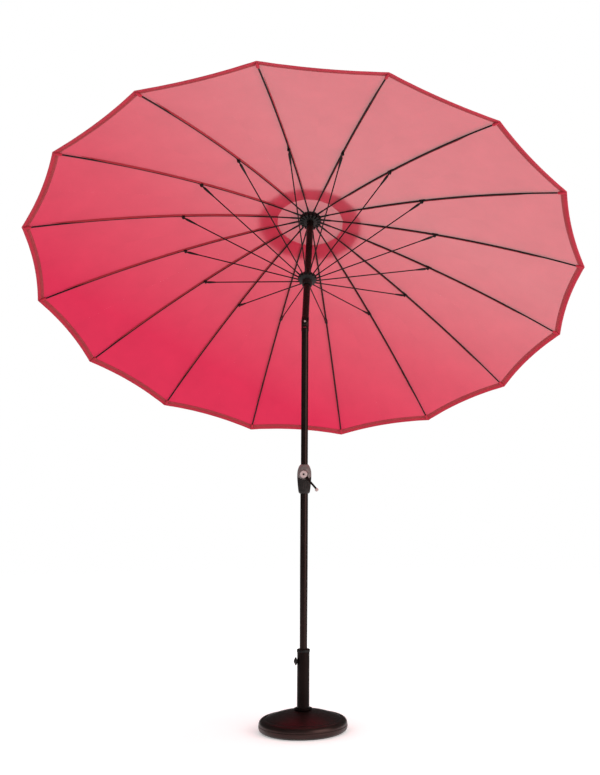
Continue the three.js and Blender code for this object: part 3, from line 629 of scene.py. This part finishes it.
def make_housing():
    low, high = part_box("crank_housing_rear")
    middle, half = (low.z + high.z) / 2, (high.z - low.z) / 2
    line = smooth_line([(w * HOUSING_RADIUS, middle + h * half) for w, h in HOUSING_PROFILE], 9)
    wave = housing_wave(middle, half)
    segments = 120
    for side, name in ((-1, "front"), (1, "rear")):
        shape = Shape()
        count = segments // 2 + 1
        points = []
        rows = line + [(max(r - 0.0026, 0.017), z) for r, z in reversed(line)]
        for i, (r, z) in enumerate(rows):
            for k in range(count):
                angle = math.pi * k / (count - 1) * side
                shown = wave(r, z, angle) if i < len(line) else r
                points.append((shown * math.cos(angle), shown * math.sin(angle) + side * 0.00018, z))
        faces = rings_faces(len(rows), count, closed_rows=True, closed_ring=False)
        last = len(rows)
        faces += [[i * count, (i + 1) * count, (last - 2 - i) * count, (last - 1 - i) * count]
                  for i in range(len(line) - 1)]
        faces += [[i * count + count - 1, (last - 1 - i) * count + count - 1,
                   (last - 2 - i) * count + count - 1, (i + 1) * count + count - 1]
                  for i in range(len(line) - 1)]
        shape.add(points, faces)
        for index, face in enumerate(faces):
            centre = sum((Vector(points[i]) for i in face), Vector()) / len(face)
            # The housing is two-tone. The dark grip's edge rising towards the sides is painted shade, where
            # the sides fall in shade.
            grip_shade_border = 0.16 * abs(centre.x) / HOUSING_RADIUS - 0.02
            shape.numbers[index] = 0 if centre.z > middle + grip_shade_border * half else 1
        crank = joint_place("crank_turn").z
        if side < 0:
            boss = arc((0.0185, 0.0365), (0.0025, 0.0035), 90, 10, 5)
            profile = [(0.0056, 0.022), (0.0056, 0.0395), (0.0062, 0.040)] + boss
            profile += [(0.0222, 0.030), (0.0236, 0.022)]
            shape.add(*lathe(profile, 96), placed(Vector((0, 0, crank)), Vector((1, 0, 0)),
                                                  Vector((0, 0, 1)), Vector((0, -1, 0))))
        else:
            for x, z in ((-0.014, 0.024), (0.014, 0.024), (-0.011, -0.060), (0.011, -0.060)):
                r = math.sqrt(max(HOUSING_RADIUS ** 2 * 0.80 - x * x, 0))
                screw = [(0, 0), (0.0032, 0), (0.0032, 0.0012), (0.0027, 0.0017), (0.0012, 0.0017),
                         (0.0010, 0.0008), (0, 0.0008)]
                shape.add(*lathe(screw, 24), placed(Vector((x, r - 0.0002, crank + z)), Vector((-1, 0, 0)),
                                                    Vector((0, 0, 1)), Vector((0, 1, 0))), 2)
        built = shape.build(f"housing_{name}_shell", [HOUSING_UPPER, HOUSING_GRIP, DARK_SOCKET], 40)
        dress(built, "pole", "housing_plastic", f"crank_housing_{name}")


def crank_matrix():
    """Local frame of the crank: x along its arm, z out of the housing towards the user."""
    centre = joint_place("crank_turn")
    grip = joint_place("crank_grip_spin")
    along = Vector((grip.x - centre.x, 0, grip.z - centre.z))
    front = Vector((0, -1, 0))
    return placed(centre, along.normalized(), front.cross(along.normalized()), front), along.length


def make_crank():
    matrix, length = crank_matrix()
    back, thick = 0.0403, 0.006
    outline = arc((0, 0), (0.015, 0.015), 60, 300, 28)
    outline += [(0.018, -0.0083), (length * 0.42, -0.0050)] + arc((length, 0), (0.0046, 0.0046), -90, 90, 12)
    outline += [(length * 0.42, 0.0050), (0.018, 0.0083)]
    flip = Matrix(((1, 0, 0, 0), (0, 0, 1, 0), (0, 1, 0, 0), (0, 0, 0, 1)))
    arm = Shape().add(*plate(outline, back, back + thick), matrix @ flip)
    arm_piece = arm.build("crank_handle_arm", [BLACK_METAL], 30, 0.0009, 3)
    dress(arm_piece, "crank", "black_metal", "crank_arm")
    cap_back = back + thick + 0.0003
    cap = [(0, cap_back), (0.0158, cap_back), (0.0168, cap_back + 0.001), (0.0170, cap_back + 0.0055)]
    cap += arc((0.0140, cap_back + 0.0052), (0.0030, 0.0028), 0, 90, 6)
    cap += [(0.0066, cap_back + 0.0080), (0.0058, cap_back + 0.0074), (0.0056, cap_back + 0.0048),
            (0, cap_back + 0.0048)]
    disc = Shape().add(*lathe(cap, 96), matrix)
    hexagon = [(0, cap_back + 0.0046), (0.0040, cap_back + 0.0046), (0.0040, cap_back + 0.0062),
               (0.0034, cap_back + 0.0067), (0, cap_back + 0.0067)]
    disc.add(*lathe(hexagon, 6), matrix, 1)
    dress(disc.build("crank_round_cap", [PALE_PLASTIC, DARK_SOCKET], 35), "crank", "pale_plastic",
          "crank_cap")
    turn = Matrix.Translation(Vector((length, 0, 0)))
    grip = [(0.0029, cap_back), (0.0055, cap_back)]
    grip += smooth_line([(0.0062, cap_back + 0.0006), (0.0072, cap_back + 0.004), (0.0066, cap_back + 0.014),
                         (0.0073, cap_back + 0.028), (0.0075, cap_back + 0.034),
                         (0.0052, cap_back + 0.0388), (0.0024, cap_back + 0.0400)], 6)
    grip += [(0, cap_back + 0.0400), (0, cap_back + 0.0362), (0.0029, cap_back + 0.0358)]
    knob = Shape().add(*lathe(grip, 64), matrix @ turn)
    dress(knob.build("crank_grip_knob", [PALE_PLASTIC], 40), "crank_grip", "pale_plastic", "crank_knob")
    post = Shape().add(*lathe([(0, back + 0.002), (0.0025, back + 0.002), (0.0025, back + 0.040),
                               (0, back + 0.040)], 32), matrix @ turn)
    dress(post.build("crank_grip_post", [STEEL], 40), "crank", "steel")


def refined(node, name, material, body, slot, width=0.0006, angle=35):
    """The node's own form with rounded edges."""
    mesh = NODES[node].data.copy()
    piece = new_object(name, mesh)
    mesh.materials.clear()
    mesh.materials.append(material)
    bpy.context.view_layer.objects.active = piece
    piece.select_set(True)
    bpy.ops.object.mode_set(mode="EDIT")
    bpy.ops.mesh.select_all(action="SELECT")
    bpy.ops.mesh.remove_doubles(threshold=1e-6)
    bpy.ops.mesh.dissolve_limited(angle_limit=math.radians(0.5))
    bpy.ops.object.mode_set(mode="OBJECT")
    finish_mesh(piece, angle, width, 2)
    dress(piece, body, slot, node)


def make_joint_and_hubs():
    refined("tilt_fork", "tilt_fork_knuckle", BLACK_METAL, "pole", "black_metal", 0.0008)
    refined("tilt_tongue", "tilt_tongue_knuckle", BLACK_METAL, "upper_frame", "black_metal", 0.0008)
    # The push button is a real part. Its pale colour is a painted highlight, for a glint on the tilt joint.
    refined("tilt_button", "tilt_push_button", PALE_PLASTIC, "tilt_catch", "pale_plastic", 0.0007)
    refined("top_hub", "rib_hub", BLACK_PLASTIC, "upper_frame", "black_plastic", 0.0007)
    refined("runner", "strut_runner", BLACK_PLASTIC, "slider", "black_plastic", 0.0007)
    low = min((v.co - HUB).dot(UP) for v in NODES["finial"].data.vertices)
    profile = [(0, low), (0.0212, low)]
    profile += smooth_line([(0.0220, low + 0.001), (0.0220, low + 0.0038), (0.0150, low + 0.0068),
                            (0.0105, low + 0.0100), (0.0100, low + 0.0140), (0.0148, low + 0.0210),
                            (0.0166, low + 0.0280), (0.0140, low + 0.0365), (0.0078, low + 0.0432),
                            (0.0026, low + 0.0457)], 6)
    profile += [(0, low + 0.046)]
    dress(Shape().add(*lathe(profile, 72), TOP).build("finial_knob", [BLACK_PLASTIC], 40), "upper_frame",
          "black_plastic", "finial")


# ------------------------------------------------------------------ ribs and struts

def rib_drop(radius):
    out = radius - HUB_PIVOT
    return RIB_SLOPE * out + RIB_CURVE * out * out


def fall(radius):
    """Slope of ribs and fabric at a distance from the axis."""
    return RIB_SLOPE + 2 * RIB_CURVE * (radius - HUB_PIVOT)


def rib_line(start, end, steps, lift=0.0):
    radii = [start + (end - start) * i / steps for i in range(steps + 1)]
    return [Vector((r, 0, lift - rib_drop(r))) for r in radii]


def tilted_about(origin, angle):
    """Turned down by an angle about y, at a point."""
    return Matrix.Translation(origin) @ Matrix.Rotation(angle, 4, "Y")


def make_rib(k):
    matrix = rib_matrix(k)
    shape = Shape()
    hub_turn = tilted_about(Vector((HUB_PIVOT, 0, 0)), math.atan(RIB_SLOPE))
    outline = arc((0, 0), (0.0045, 0.0040), 90, 270, 8) + [(0.022, -0.0040), (0.026, -0.0030)]
    outline += [(0.026, 0.0030), (0.022, 0.0040)]
    shape.add(*plate(outline, -RIB_TONGUE / 2, RIB_TONGUE / 2), matrix @ hub_turn, 1)
    ferrule = rib_line(HUB_PIVOT + 0.014, HUB_PIVOT + 0.062, 6)
    shape.add(*tube(ferrule, [0.0034, 0.0046, 0.0048, 0.0048, 0.0048, 0.0046, 0.0041], 16), matrix, 1)
    rod = rib_line(HUB_PIVOT + 0.018, RIB_END - 0.001, 48)
    shape.add(*tube(rod, [RIB_RADIUS * 0.93] * 48 + [RIB_RADIUS * 0.7], 14), matrix)
    slope = math.atan(fall(CLIP_RADIUS))
    clip = tilted_about(Vector((CLIP_RADIUS, 0, -rib_drop(CLIP_RADIUS) - CLIP_DROP)), slope)
    sleeve = [Vector((x, 0, CLIP_DROP)) for x in (-0.0165, -0.016, -0.008, 0.008, 0.016, 0.0165)]
    shape.add(*tube(sleeve, [0.0046, 0.0052, 0.0054, 0.0054, 0.0052, 0.0046], 18), matrix @ clip, 1)
    for side in (-1, 1):
        inner, outer = 0.0036 * side, 0.0062 * side
        ear = [(-0.0075, CLIP_DROP - 0.001), (-0.0062, 0.0010)] + arc((0, 0), (0.0058, 0.0052), 170, 370, 12)
        ear += [(0.0075, CLIP_DROP - 0.001)]
        shape.add(*plate(ear, min(inner, outer), max(inner, outer)), matrix @ clip, 1)
    across = placed(Vector(), Vector((1, 0, 0)), Vector((0, 0, -1)), Vector((0, 1, 0)))
    pin = [(0, -0.0078), (0.0030, -0.0078), (0.0034, -0.0070), (0.0034, -0.0062), (0.0019, -0.0062),
           (0.0019, 0.0062), (0.0034, 0.0062), (0.0034, 0.0070), (0.0030, 0.0078), (0, 0.0078)]
    shape.add(*lathe(pin, 20), matrix @ clip @ across, 1)
    piece = shape.build(rib_name("rib_rod", k), [RIB_FIBRE, BLACK_PLASTIC], 40)
    dress(piece, rib_name("rib_arm", k), "rib_fibreglass", rib_name("rib", k))


def make_strut(k):
    matrix = rib_matrix(k)
    start = Vector((CLIP_RADIUS, 0, -rib_drop(CLIP_RADIUS) - CLIP_DROP))
    end = Vector((RUNNER_PIVOT, 0, -RUNNER_BELOW_HUB))
    run = end - start
    length = run.length
    turn = placed(start, run.normalized(), Vector((0, -1, 0)), run.normalized().cross(Vector((0, -1, 0))))
    shape = Shape()
    line = [Vector((x * length, 0, 0)) for x in (0.026, 0.04, 0.05, 0.5, 0.945, 0.957, 0.972)]
    radii = [STRUT_RADIUS * s for s in (0.72, 0.9, 1, 1, 1, 0.9, 0.72)]
    shape.add(*tube(line, radii, 14), matrix @ turn)
    socket = [Vector((x, 0, 0)) for x in (0.0135, 0.015, 0.020, 0.034, 0.058, 0.070, 0.072)]
    shape.add(*tube(socket, [0.0036, 0.0050, 0.0060, 0.0058, 0.0045, 0.0038, 0.0033], 18), matrix @ turn, 1)
    half = STRUT_TONGUE / 2
    eye = arc((0, 0), (0.0046, 0.0046), 40, 320, 16) + [(0.012, -0.0030), (0.030, -0.0024),
                                                         (0.030, 0.0024), (0.012, 0.0030)]
    shape.add(*plate(eye, -half, half), matrix @ turn)
    seat = arc((length, 0), (0.0030, 0.0030), -90, 90, 10)
    seat += [(length - 0.026, 0.0028), (length - 0.030, 0.0018), (length - 0.030, -0.0018),
             (length - 0.026, -0.0028)]
    shape.add(*plate(seat, -half, half), matrix @ turn)
    piece = shape.build(rib_name("strut_rod", k), [STRUT_METAL, BLACK_PLASTIC], 40)
    dress(piece, rib_name("strut_arm", k), "strut_metal", rib_name("strut", k))


# ------------------------------------------------------------------ fabric

def fabric_point(radius, share, lift=0.0):
    """A point of the main fabric beside a rib.

    radius is the rib's distance from the axis there, share runs from -0.5 to 0.5 of the way to the next
    ribs, and lift is above the underside.
    """
    side = abs(share)
    turn = math.copysign(PITCH, share)
    x = radius + side * (radius * math.cos(turn) - radius)
    y = side * radius * math.sin(turn)
    depth = (radius - HOLE_RADIUS) / (CANOPY_RADIUS - HOLE_RADIUS)
    inward = SCALLOP * depth * abs(depth) * 4 * side * (1 - side)
    flat = math.hypot(x, y)
    scale = (flat - inward) / flat
    z = FABRIC_LIFT - rib_drop(radius) + inward * fall(radius)
    return Vector((x * scale, y * scale, z + lift))


def pucker(radius, share, seed):
    """Small tension folds beside a rib and at the hem, gone half way to the next rib."""
    near = (1 - 2 * abs(share)) ** 2
    away = abs(share) * radius * PITCH
    ripple = noise.noise(Vector((radius * 13.0, seed * 7.3, 0.0))) * math.exp(-away / 0.05)
    crease = noise.noise(Vector((radius * 3.1, share * 6.0 + seed * 3.7, 5.0)))
    edge = math.exp(-(CANOPY_RADIUS - radius) / 0.05) * math.sin(share * 34.0 + seed)
    return near * (0.0016 * ripple + 0.0012 * crease + 0.0007 * edge) * min(1.0, away / 0.02)


def surface(radius, share, seed):
    return fabric_point(radius, share, LAYER * 0.5 + pucker(radius, share, seed))


def add_uv(mesh, corner_uvs):
    layer = mesh.uv_layers.new(name="cloth")
    for loop in mesh.loops:
        layer.data[loop.index].uv = corner_uvs[loop.vertex_index]


def grid_sheet(name, rows, uvs, normal_at, material, matrix):
    """A sheet from rows of points, with its corners' normals taken from the form itself."""
    count = len(rows[0])
    points = [matrix @ p for row in rows for p in row]
    faces = rings_faces(len(rows), count, closed_ring=False)
    mesh = bpy.data.meshes.new(name)
    mesh.from_pydata(points, [], faces)
    mesh.materials.append(material)
    mesh.polygons.foreach_set("use_smooth", [True] * len(mesh.polygons))
    add_uv(mesh, [uv for row in uvs for uv in row])
    turn = matrix.to_3x3()
    facing = []
    for face in mesh.polygons:
        corners = list(face.vertices)
        middle = sum(i % count for i in corners) / 4
        for i in corners:
            normal = (turn @ normal_at(i // count, i % count, middle)).normalized()
            facing.append(normal if normal.dot(face.normal) > 0 else -normal)
    mesh.normals_split_custom_set(facing)
    piece = new_object(name, mesh)
    return piece


def slack(piece):
    """The piece gets its own copy of its mesh. The real cloth goes slack as the ribs are let down."""
    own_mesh(piece)


def make_panel(k):
    matrix = rib_matrix(k)
    along, across = 56, 20
    radii = [HOLE_RADIUS + (CANOPY_RADIUS - HOLE_RADIUS) * i / along for i in range(along + 1)]
    shares = [-0.5 + j / across for j in range(across + 1)]
    rows = [[surface(r, s, k) for s in shares] for r in radii]
    uvs = [[(s * r * PITCH, r) for s in shares] for r in radii]

    def normal_at(i, j, middle):
        share, radius = shares[j], radii[i]
        side = 1 if middle > across / 2 else -1
        step = 0.004
        inner = min(max(abs(share), 1e-4), 0.4955) * side
        a = surface(radius + step, inner, k) - surface(radius - step, inner, k)
        other = (abs(inner) + step) * side
        b = (surface(radius, other, k) - surface(radius, inner, k)) * side
        return a.cross(b)

    piece = grid_sheet(rib_name("canopy_panel", k), rows, uvs, normal_at, PANEL, matrix)
    dress(piece, rib_name("rib_arm", k), "canopy_fabric", "canopy")
    trim = make_trim(k, matrix)
    slack(piece)
    slack(trim)


def strip(section, shares, place, k):
    """A closed band along the canopy's edge: section gives (inset, height) pairs."""
    rows = [[place(inset, height, share, k) for inset, height in section] for share in shares]
    points = [p for row in rows for p in row]
    count = len(section)
    faces = rings_faces(len(rows), count)
    faces.append(list(range(count))[::-1])
    faces.append([len(points) - count + i for i in range(count)])
    return points, faces


def hem_place(inset, height, share, k):
    radius = CANOPY_RADIUS - inset
    lift = LAYER * 0.5 + pucker(min(radius, CANOPY_RADIUS), share, k)
    return fabric_point(radius, share, lift) + Vector((0, 0, height))


def make_trim(k, matrix):
    """Hem, seam allowance beside the rib, pocket on the rib's end and the hem's stitches."""
    shape = Shape()
    shares = [-0.5 + j / 24 for j in range(25)]
    outer = [(0.0145, -0.0012), (0.0145, -0.0026), (0.0080, -0.0030), (0.0015, -0.0028), (-0.0010, -0.0012),
             (-0.0012, 0.0004), (-0.0002, 0.0012), (0.0020, 0.0011), (0.0022, 0.0006), (0.0006, 0.0004),
             (0.0006, -0.0008)]
    inner = [(HEM_WIDTH, -0.0006), (HEM_WIDTH + 0.0006, -0.0012), (HEM_WIDTH, -0.0020), (0.0148, -0.0024),
             (0.0140, -0.0018), (0.0148, -0.0009)]
    shape.add(*strip(outer, shares, hem_place, k), matrix, 0)
    shape.add(*strip(inner, shares, hem_place, k), matrix, 1)

    steps = 60
    rows = []
    for i in range(steps + 1):
        radius = SEAM_START + (SEAM_END - SEAM_START) * i / steps
        fade = min(1.0, 8 * i / steps, 8 * (steps - i) / steps)
        sway = 0.0008 * noise.noise(Vector((radius * 30.0, k * 5.1, 2.0)))
        side = RIB_RADIUS + 0.0014 + sway
        top = FABRIC_LIFT - rib_drop(radius)
        hang = top - (0.0030 + 0.0092 * fade) + 0.0008 * noise.noise(Vector((radius * 18.0, k, 9.0)))
        rows += [Vector((radius, side - 0.0004, top)), Vector((radius, side + 0.0005, top)),
                 Vector((radius, side + 0.0007 + sway, (top + hang) / 2)),
                 Vector((radius, side + 0.0004, hang)), Vector((radius, side - 0.0004, hang)),
                 Vector((radius, side - 0.0002 + sway, (top + hang) / 2))]
    faces = rings_faces(steps + 1, 6)
    faces += [[5, 4, 3, 2, 1, 0], [steps * 6 + i for i in range(6)]]
    shape.add(rows, faces, matrix, 2)

    pocket = rib_line(POCKET_START, POCKET_END, 9, 0.0002)
    widths = [0.0066, 0.0070, 0.0071, 0.0070, 0.0068, 0.0064, 0.0056, 0.0045, 0.0030, 0.0008]
    shape.add(*tube(pocket, widths, 16), matrix, 0)

    chord = 2 * CANOPY_RADIUS * math.sin(PITCH / 2)
    count = int(chord / STITCH_PITCH)
    for row in STITCH_ROWS:
        for i in range(count):
            middle = -0.5 + (i + 0.5) / count
            ends = [hem_place(row, -0.0033, middle + d * STITCH_LENGTH / chord / 2, k) for d in (-1, 1)]
            drop = Vector((0, 0, STITCH_HALF))
            wide = Vector((STITCH_HALF, 0, 0))
            box = [e + a * wide + b * drop for e in ends for a, b in ((-1, 0), (0, -1), (1, 0), (0, 1))]
            faces = rings_faces(2, 4) + [[3, 2, 1, 0], [4, 5, 6, 7]]
            shape.add(box, faces, matrix, 3)
    piece = shape.build(rib_name("canopy_trim", k), [HEM_FOLD, HEM_INNER, SEAM, THREAD_RED], 50)
    back = matrix.inverted()
    add_uv(piece.data, [tuple((back @ v.co).yx) for v in piece.data.vertices])
    return dress(piece, rib_name("rib_arm", k), "canopy_fabric")


def vent_point(radius, angle, lift=0.0):
    """A point of the vent cap's underside; ribs' directions are its ridges."""
    local = (angle - VENT_PHASE) % PITCH
    share = local / PITCH
    corner = radius * math.cos(PITCH / 2) / math.cos(local - PITCH / 2)
    wave = 4 * share * (1 - share)
    fold = noise.noise(Vector((math.cos(angle) * 2.6, math.sin(angle) * 2.6, radius * 16.0)))
    spread = min(1.0, radius / 0.06) * min(1.0, max(0.0, (VENT_RADIUS - radius) / 0.05) + 0.3)
    height = VENT_TOP - VENT_SLOPE * radius + 0.0024 * fold * wave * spread
    return Vector((corner * math.cos(angle), corner * math.sin(angle), height + lift))


def make_vent():
    around, along = RIBS * 8, 22
    radii = [VENT_HOLE + (VENT_RADIUS - VENT_HOLE) * (i / along) for i in range(along + 1)]
    angles = [VENT_PHASE + 2 * math.pi * j / around for j in range(around + 1)]
    rows = [[vent_point(r, a, LAYER) for a in angles] for r in radii]
    uvs = [[((a - VENT_PHASE) * r, r) for a in angles] for r in radii]

    def normal_at(i, j, middle):
        step = 0.003
        angle = angles[j] + (0.004 if middle > j else -0.004)
        a = vent_point(radii[i] + step, angle) - vent_point(radii[i] - step, angle)
        b = vent_point(radii[i], angle + 0.003) - vent_point(radii[i], angle - 0.003)
        return a.cross(b)

    cap = grid_sheet("vent_cap_cloth", rows, uvs, normal_at, PANEL, TOP)
    dress(cap, "upper_frame", "canopy_fabric", "vent_cap")
    section = [(0.0, 0.0030), (0.0014, 0.0018), (0.0010, 0.0002), (-0.004, -0.0002), (-0.0140, 0.0002),
               (-0.0146, 0.0008), (-0.0140, 0.0012), (-0.004, 0.0030)]
    shape = Shape()
    points = [vent_point(VENT_RADIUS + out, a, up) for a in angles[:-1] for out, up in section]
    shape.add(points, rings_faces(around, len(section), closed_rows=True), TOP)
    shape.add(*lathe([(VENT_HOLE - 0.0020, 0.0288), (0.0195, 0.0274), (0.0200, 0.0280),
                      (0.0195, 0.0286), (VENT_HOLE - 0.0020, 0.0294)], 64), TOP, 1)
    hem = shape.build("vent_cap_hem", [HEM_FOLD, SEAM], 50)
    back = TOP.inverted()
    add_uv(hem.data, [tuple((back @ v.co).xy) for v in hem.data.vertices])
    dress(hem, "upper_frame", "canopy_fabric")


# ------------------------------------------------------------------ floor, light and camera

def make_floor():
    bpy.ops.mesh.primitive_circle_add(vertices=128, radius=FLOOR_RADIUS, fill_type="NGON",
                                      location=(0, 0, -0.0005))
    floor = bpy.context.object
    floor.name = "pale_floor"
    make = Nodes("pale_floor")
    clouds = make.noise(make.place(), 1.4, 4.0)
    make.set(Base_Color=make.ramp(clouds, [(0.3, grey(0.90)), (0.7, grey(0.94))]), Roughness=0.9)
    make.set(Emission_Color=(1.0, 1.0, 1.0, 1), Emission_Strength=0.22)
    far = make.node("ShaderNodeVectorMath", {"Vector": make.place()}, operation="LENGTH")
    fade = make.ramp(make.math("MULTIPLY", far.outputs["Value"], 1 / FLOOR_RADIUS),
                     [(0.28, grey(0)), (0.92, grey(1))])
    make.mix_surface(fade, make.node("ShaderNodeBsdfTransparent"))
    floor.data.materials.append(make.material)


def soft_light(name, place, target, size, power, colour=(1, 1, 1)):
    data = bpy.data.lights.new(name, "AREA")
    data.shape = "RECTANGLE"
    data.size, data.size_y = size
    data.energy = power
    data.color = colour
    lamp = new_object(name, data)
    lamp.location = place
    lamp.rotation_euler = (Vector(target) - Vector(place)).to_track_quat("-Z", "Y").to_euler()


WORLD_SEEN = 1.0
WORLD_REFLECTED = 0.08     # glossy surfaces see dark surroundings, so the blacks stay black


def make_world():
    world = bpy.data.worlds.new("studio")
    bpy.context.scene.world = world
    world.use_nodes = True
    tree = world.node_tree
    background = tree.nodes["Background"]
    background.inputs["Color"].default_value = (1.0, 1.0, 1.0, 1)
    path = tree.nodes.new("ShaderNodeLightPath")
    seen = tree.nodes.new("ShaderNodeMapRange")
    seen.inputs["To Min"].default_value = WORLD_SEEN
    seen.inputs["To Max"].default_value = WORLD_REFLECTED
    tree.links.new(path.outputs["Is Glossy Ray"], seen.inputs["Value"])
    tree.links.new(seen.outputs["Result"], background.inputs["Strength"])


def make_lights():
    soft_light("sky_panel", (0.4, 2.6, 5.2), (0, 0.4, 2.2), (4.0, 3.0), 56.0)
    soft_light("front_panel", (-2.6, -4.6, 3.0), (0, 0.2, 1.6), (2.2, 2.8), 10.0)
    soft_light("side_panel", (3.4, -2.6, 1.5), (0, 0, 1.1), (3.0, 2.8), 100.0, (1.0, 0.85, 0.80))


CAMERA_DISTANCE = 5.4712
CAMERA_HEIGHT = 1.2699
CAMERA_TURN = 3.9148       # the camera's place, degrees round the pole from -Y towards +X
CAMERA_HEADING = 0.8345    # its direction, degrees from +Y towards +X
CAMERA_RISE = 3.5253       # degrees above level
LENS = 53.345              # millimetres, like the sensor's width
SENSOR = 36.0
SHIFT = -0.129             # of the sensor's width


def make_camera():
    data = bpy.data.cameras.new("camera")
    data.lens = LENS
    data.sensor_width = SENSOR
    data.shift_x = SHIFT
    camera = new_object("camera", data)
    turn, heading, rise = (math.radians(a) for a in (CAMERA_TURN, CAMERA_HEADING, CAMERA_RISE))
    camera.location = (CAMERA_DISTANCE * math.sin(turn), -CAMERA_DISTANCE * math.cos(turn), CAMERA_HEIGHT)
    ahead = Vector((math.sin(heading) * math.cos(rise), math.cos(heading) * math.cos(rise), math.sin(rise)))
    camera.rotation_euler = ahead.to_track_quat("-Z", "Y").to_euler()
    bpy.context.scene.camera = camera


# ------------------------------------------------------------------ everything together

bpy.context.scene.view_settings.view_transform = "Standard"
make_camera()
make_floor()
make_world()
make_lights()
make_base()
make_knob()
make_poles()
make_housing()
make_crank()
make_joint_and_hubs()
for number in range(RIBS):
    make_rib(number)
    make_strut(number)
    make_panel(number)
make_vent()
